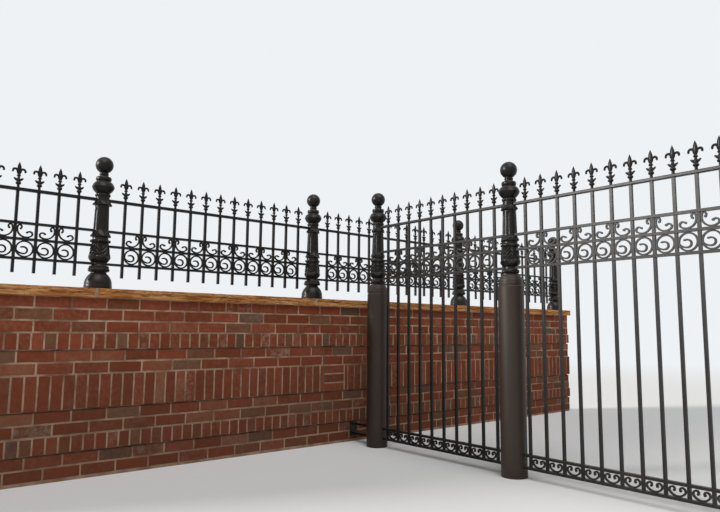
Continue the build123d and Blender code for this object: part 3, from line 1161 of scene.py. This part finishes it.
    def _fill_joints(self) -> None:
        """Fill the joints with mortar that lies a little behind the bricks."""
        draft = Draft()
        half = self.joint / 2
        bands = [course for course in self.courses if course.proud]
        slabs = [(0.0, self.courses[0].top, -self.undercut)]
        slabs += [(course.foot + half, course.top - half, course.proud) for course in bands]
        tops = [course.top - half for course in bands]
        feet = [course.foot - half for course in bands]
        slabs += [(foot, top, 0.0) for foot, top in zip([*tops, 0.0], [self.courses[0].top, *feet])]
        for foot, top, proud in slabs:
            out = proud - self.recess
            depth = self.half_thickness + out
            self._block(draft, Room((self.left - out, self.right + out), (-depth, depth), (foot, top)))
        draft.to_piece("wall_mortar", self.finishes.mortar, "brick", Shading.FLAT, ["brick_wall"])

    def _seal_split(self) -> None:
        """Fill the movement joint, which also runs through the proud soldier band."""
        draft = Draft()
        span = (self.split_x - self.joint / 2, self.split_x + self.joint / 2)
        front, back = self.split_recess - self.half_thickness, -self.half_thickness / 2
        self._block(draft, Room(span, (front, back), (self.split_foot, self.split_top)))
        for course in self.courses:
            if course.bond is Bond.SOLDIER:
                level = (course.foot + self.split_margin, course.top - self.split_margin)
                self._block(draft, Room(span, (front - course.proud, back), level))
        draft.to_piece("wall_split_filler", self.finishes.sealant, "brick", Shading.FLAT)


@dataclass
class Coping:
    """Long rock-faced stones on the wall, with mortar between them.

    Each of the wanders of a seam has its waves per millimetre, its layer of the noise and its reach.
    """

    finishes: Finishes
    foot: float = 1061.0
    top: float = 1118.0
    half_width: float = 127.0
    middle_y: float = WALL_Y
    half_length: float = 3476.0
    joint: float = 6.0
    mortar_width: float = 22.0
    mortar_recess: float = 4.0
    mortar_worn: float = 2.0
    joints_x: tuple[float, ...] = (-1742.5, -98.5, 1658.5)
    face_depth: float = 12.0
    top_depth: float = 3.0
    crevice_depth: float = 6.0
    crevice_width: float = 4.0
    side_seed: float = 31.0
    wanders: tuple[Triple, ...] = ((0.006, 0.0, 17.0), (0.03, 5.0, 6.0))
    gape_waves: float = 0.008
    gape_layer: float = 9.0
    gape_bias: float = 0.35
    gape_gain: float = 2.5
    face_rows: int = 13
    top_columns: int = 15
    station: float = 9.0
    ledge_grain: Triple = (0.010, 0.03, 0.060)
    chip_grain: Triple = (0.045, 0.05, 0.11)
    least_cut: float = 0.10
    ledge_cut: float = 1.3
    chip_cut: float = 0.35
    edge_lift: float = 3.5
    edge_waves: float = 0.7
    ledges: tuple[float, float, int] = (0.8, 2.1, 5)

    def build(self) -> None:
        """Make the stones and the joints."""
        edges = [-self.half_length - self.joint / 2, *self.joints_x, self.half_length + self.joint / 2]
        for number, (start, end) in enumerate(zip(edges, edges[1:]), 1):
            points, faces, hollow = self._stone(start + self.joint / 2, end - self.joint / 2)
            draft = Draft()
            # Each point carries the painted shade of the crevices and hollows
            draft.add(points, faces, hollow=hollow)
            name, node = f"coping_face_{number}", f"coping_stone_{number}"
            draft.to_piece(name, self.finishes.stone, "coping_stone", Shading.CREASED, [node])
        draft = Draft()
        for place in self.joints_x:
            depth = 2 * (self.half_width - self.mortar_recess)
            height = self.top - self.foot - self.mortar_recess
            size = np.array([self.mortar_width, depth, height]) * MM
            points, faces = worn_box(size, self.mortar_worn * MM)
            draft.add(points + np.array([place, self.middle_y, (self.foot + self.top) / 2]) * MM, faces)
        draft.to_piece("coping_mortar", self.finishes.mortar, "coping_stone", Shading.FLAT)

    def _section(self) -> list[Triple]:
        """Outline of a stone, from its front edge round its back to its front edge.

        Returns:
            Y, Z and the most that the chisel took away at each point, in millimetres.
        """
        rows = np.linspace(self.foot, self.top, self.face_rows)
        across = np.linspace(-self.half_width, self.half_width, self.top_columns)[1:-1]
        front = [(-self.half_width, z, self.face_depth) for z in rows]
        back = [(self.half_width, z, self.face_depth) for z in rows[::-1]]
        upper = [(y, self.top, self.top_depth) for y in across]
        lower = [(y, self.foot, 0.0) for y in across[::-1]]
        return front + upper + back + lower

    def _crevice(self, place: float, y: float, z: float) -> float:
        """How deep a point lies in the seam that wanders along a face.

        Args:
            place: Place along the wall in millimetres.
            y: Place across the wall.
            z: Height.

        Returns:
            Depth from 0 to 1.
        """
        side = math.copysign(self.side_seed, y)
        line = (self.foot + self.top) / 2
        for waves, layer, reach in self.wanders:
            line += noise.noise(Vector((place * waves, side, layer))) * reach
        gape = noise.noise(Vector((place * self.gape_waves, side, self.gape_layer))) + self.gape_bias
        share = max(min(gape * self.gape_gain, 1.0), 0.0)
        return share * math.exp(-(((z - line) / self.crevice_width) ** 2))

    def _stone(self, start: float, end: float) -> tuple[np.ndarray, list[Face], np.ndarray]:
        """One stone between two places along the wall.

        Args:
            start: Left end in millimetres.
            end: Right end in millimetres.

        Returns:
            Points and faces in metres, and the painted shade of each point from 0 to 1, which is deepest in crevices
            and chiselled hollows.
        """
        section = self._section()
        middle_z = (self.foot + self.top) / 2
        stations = max(int((end - start) / self.station), 2)
        points = []
        hollow = []
        for place in np.linspace(start, end, stations + 1):
            for y, z, depth in section:
                on_face = abs(y) > self.half_width - 1
                corner = (place, y, z)
                spot = Vector([part * grain for part, grain in zip(corner, self.ledge_grain)])
                chip = Vector([part * grain for part, grain in zip(corner, self.chip_grain)])
                ledges = abs(noise.fractal(spot, *self.ledges))
                chips = noise.noise(chip) * 0.5 + 0.5
                crevice = self._crevice(place, y, z) if on_face else 0.0
                share = self.least_cut + self.ledge_cut * ledges + self.chip_cut * chips
                cut = depth * min(1.0, share) + self.crevice_depth * crevice
                at_edge = on_face and z in (self.foot, self.top)
                wave = 0.5 + 0.5 * noise.noise(spot * self.edge_waves)
                lift = self.edge_lift * wave if at_edge else 0.0
                inward = -math.copysign(cut, y) if on_face else 0.0
                droop = cut * 0.5 if z >= self.top and not on_face else 0.0
                level = z - math.copysign(lift, z - middle_z) - droop
                points.append((place, self.middle_y + y + inward, level))
                # Painted shade: darkest in the crevices, and up to half as dark where the chisel cut deep ledges
                hollow.append(min(crevice + (0.5 * ledges if on_face else 0.0), 1.0))
        return np.array(points) * MM, skin(stations + 1, len(section)), np.array(hollow)


def quarter(turn: np.ndarray) -> np.ndarray:
    """Place across one of four leaves, from -0.5 to 0.5, for angles in radians from the first leaf."""
    return (turn * 2 / math.pi + 0.5) % 1.0 - 0.5


@dataclass(frozen=True)
class Ornament:
    """Cast ornament round a post, in millimetres, with shares of its own width for what lies across it."""

    def rise(self, level: np.ndarray, turn: np.ndarray) -> np.ndarray:
        """What it adds to the radius.

        Args:
            level: Heights in millimetres.
            turn: Angles in radians.

        Returns:
            Millimetres for each point.
        """
        raise NotImplementedError


@dataclass(frozen=True)
class Flutes(Ornament):
    """Hollow flutes with round ends."""

    foot: float = 1478.0
    top: float = 1628.0
    count: int = 8
    depth: float = 5.0
    half: float = 0.30
    rounding: float = 10.0
    least: float = 1e-6

    def rise(self, level: np.ndarray, turn: np.ndarray) -> np.ndarray:
        """Less radius inside each flute.

        Args:
            level: Heights in millimetres.
            turn: Angles in radians.

        Returns:
            What it adds to the radius, in millimetres.
        """
        across = turn * self.count / (2 * math.pi) % 1.0 - 0.5
        inner = np.clip(np.minimum(level - self.foot, self.top - level) / self.rounding, 0, 1)
        half = np.maximum(self.half * np.sqrt(1 - (1 - inner) ** 2), self.least)
        return -self.depth * inner * np.sqrt(np.clip(1 - (across / half) ** 2, 0, 1))


@dataclass(frozen=True)
class HangingLeaves(Ornament):
    """Ring of four leaves that spring from the post at the top and stand out at their tips."""

    top: float
    tip: float
    reach: float
    half: float = 0.46
    taper: float = 0.20
    taper_from: float = 0.3
    edge: float = 0.12
    rib: float = 2.2
    rib_width: float = 0.05
    veins: float = 1.6
    vein_waves: int = 5
    between: float = 0.28
    swell: float = 1.1
    root: float = 2.5
    fade: float = 6.0

    def rise(self, level: np.ndarray, turn: np.ndarray) -> np.ndarray:
        """More radius towards the tip of each leaf, with a rib and veins.

        Args:
            level: Heights in millimetres.
            turn: Angles in radians.

        Returns:
            What it adds to the radius, in millimetres.
        """
        across = quarter(turn)
        down = np.clip((self.top - level) / (self.top - self.tip), 0, 1)
        half = self.half - self.taper * smooth_step(down, self.taper_from, 1.0)
        inside = smooth_step(np.abs(across), half, half - self.edge)
        rib = self.rib * np.exp(-((across / self.rib_width) ** 2))
        rib = rib + self.veins * np.cos(across * self.vein_waves * 2 * math.pi)
        body = down**self.swell * (self.between + (1 - self.between) * inside) * (self.reach + rib * down)
        root = self.root * smooth_step(level, self.top, self.top - self.fade)
        return smooth_step(level, self.tip - self.fade, self.tip) * (body + root)


@dataclass(frozen=True)
class Collar(Ornament):
    """Ring that is cut down between its four leaves."""

    zone: Zone = (1406, 1411, 1423, 1429)
    cut: float = 8.0
    leaf: Pair = (0.22, 0.36)

    def rise(self, level: np.ndarray, turn: np.ndarray) -> np.ndarray:
        """Less radius between the leaves.

        Args:
            level: Heights in millimetres.
            turn: Angles in radians.

        Returns:
            What it adds to the radius, in millimetres.
        """
        return -self.cut * within(level, self.zone) * smooth_step(np.abs(quarter(turn)), *self.leaf)


@dataclass(frozen=True)
class Acanthus(Ornament):
    """Four veined leaves that cover the vase and curl out at its foot."""

    foot: float = 1315.0
    height: float = 89.0
    zone: Zone = (1318, 1326, 1400, 1407)
    vein_rows: float = 3.4
    vein_slant: float = 1.8
    width: float = 0.78
    widening: float = 0.14
    full_width: Pair = (0.05, 0.35)
    lobes: float = 0.06
    edge: float = 0.16
    body: float = 2.4
    veins: float = 3.2
    rib: float = 3.0
    rib_width: float = 0.09
    sunk: float = 2.6
    tips: Zone = (1305, 1313, 1322, 1338)
    tip_cut: float = 10.0
    tip_width: Pair = (0.4, 0.8)

    def rise(self, level: np.ndarray, turn: np.ndarray) -> np.ndarray:
        """Veins and a rib on each leaf, and less radius between the curled tips.

        Args:
            level: Heights in millimetres.
            turn: Angles in radians.

        Returns:
            What it adds to the radius, in millimetres.
        """
        up = np.clip((level - self.foot) / self.height, 0, 1)
        across = np.abs(quarter(turn)) * 2
        vein = np.cos(2 * math.pi * (up * self.vein_rows - across * self.vein_slant))
        width = self.width + self.widening * smooth_step(up, *self.full_width) + self.lobes * vein
        inside = smooth_step(across, width, width - self.edge)
        rib = self.rib * np.exp(-((across / self.rib_width) ** 2))
        leaves = within(level, self.zone) * (inside * (self.body + self.veins * vein) + rib - self.sunk)
        return leaves - self.tip_cut * within(level, self.tips) * smooth_step(across, *self.tip_width)


@dataclass(frozen=True)
class Scallops(Ornament):
    """Ring of half-round lobes, with slanting ripples over them where it has any."""

    zone: Zone
    lobes: int
    height: float
    sunk: float
    ripple: float = 0.0
    ripples: int = 0
    slant: float = 0.0

    def rise(self, level: np.ndarray, turn: np.ndarray) -> np.ndarray:
        """Lobes and ripples around the ring.

        Args:
            level: Heights in millimetres.
            turn: Angles in radians.

        Returns:
            What it adds to the radius, in millimetres.
        """
        lobes = self.height * np.abs(np.cos(turn * self.lobes / 2))
        ripples = self.ripple * np.cos(turn * self.ripples + level * self.slant)
        return within(level, self.zone) * (lobes + ripples - self.sunk)


@dataclass
class Turnery:
    """Round piece that is made once and set at several places."""

    finish: bpy.types.Material
    slot: str = "casting"
    suffix: str = "casting"
    segments: int = 96

    def profile(self) -> list[Pair]:
        """Radius and height of each point of the outline, from the bottom up, in millimetres."""
        raise NotImplementedError

    def form(self) -> Form:
        """Points and faces of one copy."""
        return turned(self.profile(), self.segments)

    def build(self, places: dict[str, Pair]) -> None:
        """Set a copy at each place.

        Args:
            places: X and Y in millimetres by the CAD node that each copy stands for.
        """
        points, faces = self.form()
        for node, (x, y) in places.items():
            draft = Draft()
            draft.add(points + np.array([x, y, 0.0]) * MM, faces)
            draft.to_piece(f"{node}_{self.suffix}", self.finish, self.slot, Shading.CREASED, [node])


@dataclass
class CastPost(Turnery):
    """Cast post from its foot to the seat of its ball: bell or torus foot, leafy vase, fluted shaft, bulb.

    The crown, the flare and the vase carry four leaves each, in line with the rails.
    """

    segments: int = 128
    on_wall: bool = True
    fine: float = 2.4
    coarse: float = 10.0
    fine_zones: tuple[Pair, ...] = ((1224, 1266), (1300, 1430), (1436, 1490), (1616, 1678), (1700, 1722))
    ornaments: tuple[Ornament, ...] = (
        Flutes(),
        HangingLeaves(top=1674, tip=1648, reach=15),
        HangingLeaves(top=1474, tip=1447, reach=13),
        Collar(),
        Acanthus(),
        Scallops((1703, 1708, 1714, 1720), lobes=16, height=2.4, sunk=2.0),
        Scallops(
            (1224, 1231, 1257, 1266), lobes=8, height=3.0, sunk=4.6, ripple=1.6, ripples=24, slant=0.25
        ),
    )

    def _wall_foot(self) -> list[Pair]:
        """Outline of the bell and the fat leafy ring of a post on the wall.

        Returns:
            Radius and height of each point, from the bottom up, in millimetres.
        """
        return [
            *((80, 1108), (83, 1111), (83, 1133), (82.5, 1137)),
            *arc((81.5, 1140), (73.5, 1181), (48, 1215), 14),
            *((46.5, 1219), (47, 1223)),
            *arc((50, 1225), (66, 1236), (61, 1246.5), 8),
            *arc((60.5, 1247.5), (61, 1255), (47, 1262), 6),
            (44, 1266),
        ]

    def _ground_foot(self) -> list[Pair]:
        """Outline of the torus under a head on a column."""
        torus = arc((50, 1241), (56, 1253), (50, 1264), 10)
        return [(47, 1229), (48, 1232), (48, 1240), *torus, (44, 1266)]

    def _head(self) -> list[Pair]:
        """Outline from the waist to the ball.

        Returns:
            Radius and height of each point, from the bottom up, in millimetres.
        """
        return [
            *((42, 1272), (42, 1281)),
            *arc((43, 1282), (59, 1299), (65, 1312), 8),
            (66.5, 1316),
            *arc((64, 1321), (59, 1334), (56, 1352), 6),
            *arc((55.8, 1354), (54, 1374), (48, 1404), 8),
            *arc((52, 1408), (62, 1417), (53, 1426), 8),
            *((48, 1429), (47, 1434), (47, 1470), (42, 1640), (41, 1700), (43, 1703)),
            *arc((44, 1704), (46.5, 1711), (44, 1719), 6),
            (39, 1723),
            *arc((42, 1726), (58.3, 1743.5), (66.3, 1760), 8),
            *((67.5, 1764), (66, 1768)),
            *arc((65, 1771), (59.5, 1784.5), (42, 1800), 8),
            (41, 1803),
            *arc((44, 1805), (47, 1817), (44, 1829), 8),
            *((30, 1834), (26, 1837)),
            *arc((26, 1843), (28.5, 1848.5), (26, 1854), 4),
            *((26, 1858), (23, 1860.5)),
        ]

    def profile(self) -> list[Pair]:
        """Outline from the foot to the ball, closer where it carries ornament."""
        foot = self._wall_foot() if self.on_wall else self._ground_foot()
        return dense(foot + self._head(), self.fine_zones, self.fine, self.coarse)

    def form(self) -> Form:
        """Points and faces of one copy, with its ornament."""
        return turned(self.profile(), self.segments, self._relief)

    def _relief(self, turn: np.ndarray, height: np.ndarray) -> np.ndarray:
        """What the ornaments add to the radius.

        Args:
            turn: Angles in radians.
            height: Heights in metres.

        Returns:
            Metres for each point.
        """
        return sum(ornament.rise(height / MM, turn) for ornament in self.ornaments) * MM


@dataclass
class BallFinial(Turnery):
    """Ball on top of a post."""

    suffix: str = "cast"
    segments: int = 72
    radius: float = 54.0
    middle: float = 1908.0
    seat_drop: float = 49.0
    rings: int = 34
    pole: float = 0.02

    def profile(self) -> list[Pair]:
        """Outline from the seat to the pole.

        Returns:
            Radius and height of each point, from the bottom up, in millimetres.
        """
        low = -math.asin(self.seat_drop / self.radius)
        angles = np.linspace(low, math.pi / 2 - self.pole, self.rings)
        return [(self.radius * math.cos(a), self.middle + self.radius * math.sin(a)) for a in angles]


@dataclass
class GroundColumn(Turnery):
    """Plain round column with fine rings on its domed shoulder."""

    slot: str = "column"
    suffix: str = "column"
    radius: float = 80.0
    foot_edge: float = 4.0
    barrel: float = 1150.0
    barrel_steps: int = 12
    dome_steps: int = 18
    ring_every: int = 6
    ring_depth: float = 1.6

    def profile(self) -> list[Pair]:
        """Outline from the ground to the head.

        Returns:
            Radius and height of each point, from the bottom up, in millimetres.
        """
        dome = arc((75, 1167), (71, 1204), (57, 1229), self.dome_steps)
        rings = [
            (radius - (self.ring_depth if (place + 1) % self.ring_every == 0 else 0.0), level)
            for place, (radius, level) in enumerate(dome)
        ]
        steps = range(self.barrel_steps + 1)
        return [
            (self.radius - 1.5, 0),
            *((self.radius, self.foot_edge + self.barrel * step / self.barrel_steps) for step in steps),
            *((self.radius, 1157), (self.radius - 2, 1160), (76.5, 1160.5), (75, 1162)),
            *rings,
            (50, 1231),
        ]


@dataclass
class FleurRow:
    """Row of cast fleur-de-lis tips, one over each picket of a bay."""

    finishes: Finishes
    seat: float = 1691.0
    pitch: float = 113.0
    sides: int = 14
    flat: float = 0.62
    flat_from: float = 80.0
    arm_sides: int = 8
    petal_middle: Pair = (21.0, 97.0)
    petal_radius: float = 12.5
    petal_turn: Pair = (180.0, -36.0)
    petal_points: int = 13
    petal_depth: float = 0.85
    leaf_depth: float = 0.7

    def _stem(self) -> list[Pair]:
        """Outline of the socket, the beads and the spear.

        Returns:
            Radius and height of each point, from the bottom up, in millimetres.
        """
        return [
            *((8.5, -1), (8, 6), (8, 14), (8.5, 16)),
            *arc((9, 17.5), (15.5, 25), (10.5, 33), 6),
            *((10.5, 36), (12, 41), (11.5, 47), (9, 54), (7, 60), (7, 64)),
            *arc((8, 65.5), (12, 70), (8, 75), 4),
            *((7, 77), (7.5, 81), (10, 88), (13, 101), (12.6, 109), (11.7, 118), (10.5, 127), (7, 137)),
            *((3.2, 146.5), (0.6, 152.5)),
        ]

    def _tip(self) -> Draft:
        """One casting that stands on its own origin, spread along X, in metres.

        Returns:
            The casting as a draft.
        """
        draft = Draft()
        points, faces = turned(self._stem(), self.sides)
        points[:, 1] *= np.where(points[:, 2] > self.flat_from * MM, self.flat, 1.0)
        draft.add(points, faces)
        x, z = self.petal_middle
        angles = np.radians(np.linspace(*self.petal_turn, self.petal_points))
        crest = [(x + self.petal_radius * math.cos(a), z + self.petal_radius * math.sin(a)) for a in angles]
        petal = [(3.0, 74), (5.0, 82), (7.8, 90), *crest]
        petal_widths = [3.5, 4.6, 5.6, *np.linspace(6.4, 7.0, 7), *np.linspace(6.8, 6.2, 4), 6.6, 3.6]
        leaf = [(3, 40), (8, 43), (14, 47), (19, 50.5), (23, 53.5), (26, 56)]
        leaf_widths = [7.0, 8.2, 7.4, 6.2, 4.8, 2.2]
        arms = ((petal, petal_widths, self.petal_depth), (leaf, leaf_widths, self.leaf_depth))
        for path, widths, depth in arms:
            half = np.array(widths)
            for side in (1, -1):
                line = np.array(path) * np.array([side, 1]) * MM
                points, faces = drawn_tube(line, half * MM, half * depth * MM, self.arm_sides)
                draft.add(points, [tuple(reversed(face)) for face in faces] if side < 0 else faces)
        return draft

    def build(self, number: int, node: str, start: Pair, count: int, along_x: bool) -> None:
        """Set one row.

        Args:
            number: Number of the row, for its name.
            node: The CAD node that the row stands for.
            start: X and Y of the first tip in millimetres.
            count: How many tips.
            along_x: True where the row runs along X, False where it runs along minus Y.
        """
        tip = self._tip()
        shape = np.vstack(tip.points)
        if not along_x:
            shape = shape[:, [1, 0, 2]] * np.array([1, -1, 1])
        x, y = start
        draft = Draft()
        for step in np.arange(count) * self.pitch:
            spot = [x + step, y, self.seat] if along_x else [x, y - step, self.seat]
            draft.add(shape + np.array(spot) * MM, tip.faces)
        draft.to_piece(f"fleur_row_{number}", self.finishes.finial, "finial", Shading.CREASED, [node])


@dataclass
class Ironwork:
    """The welded panels and the tie, which keep the shape of the CAD model."""

    finishes: Finishes
    nodes: tuple[str, ...] = (
        *(f"low_panel_{number}" for number in range(1, len(LOW_COUNTS) + 1)),
        *(f"tall_panel_{number}" for number in range(1, len(TALL_COUNTS) + 1)),
        "wall_tie",
    )

    def build(self) -> None:
        """Paint each node and smooth its round stretches."""
        for name in self.nodes:
            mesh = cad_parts[name].data
            mesh.materials.clear()
            mesh.materials.append(self.finishes.bar)
            shade(mesh, Shading.CREASED)
            log.info("%s: painted", name)


@dataclass(frozen=True)
class Lamp:
    """Even light from one side with soft shadows. Angles in degrees, the azimuth from X towards Y."""

    name: str
    colour: Colour
    azimuth: float
    elevation: float
    strength: float
    spread: float
    distance: float = 9.0

    def build(self) -> None:
        """Hang the lamp."""
        data = bpy.data.lights.new(self.name, "SUN")
        data.energy = self.strength
        data.angle = math.radians(self.spread)
        data.color = self.colour
        lamp = bpy.data.objects.new(self.name, data)
        side, rise = math.radians(self.azimuth), math.radians(self.elevation)
        ahead = (math.cos(side) * math.cos(rise), math.sin(side) * math.cos(rise), math.sin(rise))
        place = Vector(ahead) * self.distance
        turn = (-place).to_track_quat("-Z", "Y").to_matrix().to_4x4()
        lamp.matrix_world = Matrix.Translation(place) @ turn
        bpy.context.scene.collection.objects.link(lamp)


@dataclass
class Studio:
    """Pale floor, pale surroundings, soft lamps and the camera."""

    finishes: Finishes
    floor_size: float = 160.0
    world_light: float = 0.12
    world_colour: Colour = (0.90, 0.95, 1.0)
    lamps: tuple[Lamp, ...] = (
        Lamp("key_light", (1.0, 0.97, 0.93), azimuth=152.0, elevation=19.0, strength=3.3, spread=14.0),
        Lamp("fill_light", (0.98, 0.99, 1.0), azimuth=245.0, elevation=60.0, strength=1.8, spread=45.0),
    )
    camera_place: Triple = (-2.9678, -2.4446, 0.8792)
    camera_turn: float = -40.136
    camera_rise: float = 6.722
    camera_roll: float = 0.493
    lens: float = 31.307
    film_width: float = 36.0

    def build(self) -> None:
        """Set up everything round the object."""
        self._floor()
        self._world()
        for lamp in self.lamps:
            lamp.build()
        self._camera()

    def _floor(self) -> None:
        """Lay the floor."""
        half = self.floor_size / 2
        corners = [(-half, -half, 0), (half, -half, 0), (half, half, 0), (-half, half, 0)]
        mesh = bpy.data.meshes.new("studio_floor")
        mesh.from_pydata(corners, [], [(0, 1, 2, 3)])
        mesh.materials.append(self.finishes.paper)
        floor = bpy.data.objects.new("studio_floor", mesh)
        bpy.context.scene.collection.objects.link(floor)
        floor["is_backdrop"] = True

    def _world(self) -> None:
        """Pale surroundings: one tone to the eye and in reflections, a softer one as light."""
        world = bpy.data.worlds.new("studio_world")
        bpy.context.scene.world = world
        board = Board(world)
        sides: dict[object, object] = {0: board.seen()}
        tones = ((self.world_colour, self.world_light), (BACKDROP, 1.0))
        for side, (colour, strength) in enumerate(tones, 1):
            sky = board.node("ShaderNodeBackground", values={"Color": colour, "Strength": strength})
            sides[side] = board.out(sky, "Background")
        mixed = board.node("ShaderNodeMixShader", values=sides)
        board.node("ShaderNodeOutputWorld", values={"Surface": board.out(mixed, "Shader")})

    def _camera(self) -> None:
        """Set the camera where the photographer stood."""
        data = bpy.data.cameras.new("camera")
        data.sensor_fit = "HORIZONTAL"
        data.sensor_width = self.film_width
        data.lens = self.lens
        camera = bpy.data.objects.new("camera", data)
        turn = Matrix.Rotation(math.radians(self.camera_turn), 4, "Z")
        rise = Matrix.Rotation(math.radians(90 + self.camera_rise), 4, "X")
        roll = Matrix.Rotation(math.radians(self.camera_roll), 4, "Z")
        camera.matrix_world = Matrix.Translation(self.camera_place) @ turn @ rise @ roll
        bpy.context.scene.collection.objects.link(camera)
        bpy.context.scene.camera = camera


def numbered(stem: str, places: Sequence[Pair]) -> dict[str, Pair]:
    """Places by the CAD node that stands there."""
    return {f"{stem}_{number}": place for number, place in enumerate(places, 1)}


def main() -> None:
    """Build every sub-assembly in order and measure the bounds of the scene before and after."""
    logging.basicConfig(level=logging.INFO, format="%(name)s: %(message)s")
    cad_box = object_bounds()
    bpy.context.scene.view_settings.view_transform = "Standard"
    finishes = Finishes(
        bar=IronPaint("bar_paint").build(),
        casting=IronPaint("casting_paint", grain=Grain(180.0, 3.0, 0.6), grain_height=0.0009).build(),
        column=IronPaint(
            "column_paint",
            colour=(0.030, 0.0190, 0.0130),
            worn_colour=(0.039, 0.0250, 0.0175),
            roughness=0.42,
            specular=0.32,
        ).build(),
        finial=IronPaint("finial_paint", roughness=0.32).build(),
        brick=FiredBrick().build(),
        mortar=LimeMortar().build(),
        sealant=JointSealant().build(),
        stone=SplitSandstone().build(),
        paper=StudioPaper().build(),
    )
    BrickWall(finishes).build()
    Coping(finishes).build()
    on_wall = [(x, WALL_Y) for x in LOW_POSTS_X]
    on_ground = [(TALL_X, y) for y in TALL_POSTS_Y]
    CastPost(finishes.casting).build(numbered("wall_post", on_wall))
    CastPost(finishes.casting, on_wall=False).build(numbered("ground_post_head", on_ground))
    GroundColumn(finishes.column).build(numbered("ground_post", on_ground))
    balls = numbered("wall_post_ball", on_wall) | numbered("ground_post_ball", on_ground)
    BallFinial(finishes.casting).build(balls)
    fleurs = FleurRow(finishes)
    for number, ((x, y), count) in enumerate(zip(on_wall, LOW_COUNTS), 1):
        fleurs.build(number, f"low_panel_finials_{number}", (x + LOW_END_GAP, y), count, along_x=True)
    for number, ((x, y), count) in enumerate(zip(on_ground, TALL_COUNTS), 1):
        node = f"tall_panel_finials_{number}"
        fleurs.build(number + len(LOW_COUNTS), node, (x, y - TALL_END_GAP), count, along_x=False)
    Ironwork(finishes).build()
    Studio(finishes).build()
    sizes = {name: [list(corner) for corner in box] for name, box in (("cad", cad_box), ("visual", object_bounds()))}


if __name__ == "__main__":
    main()
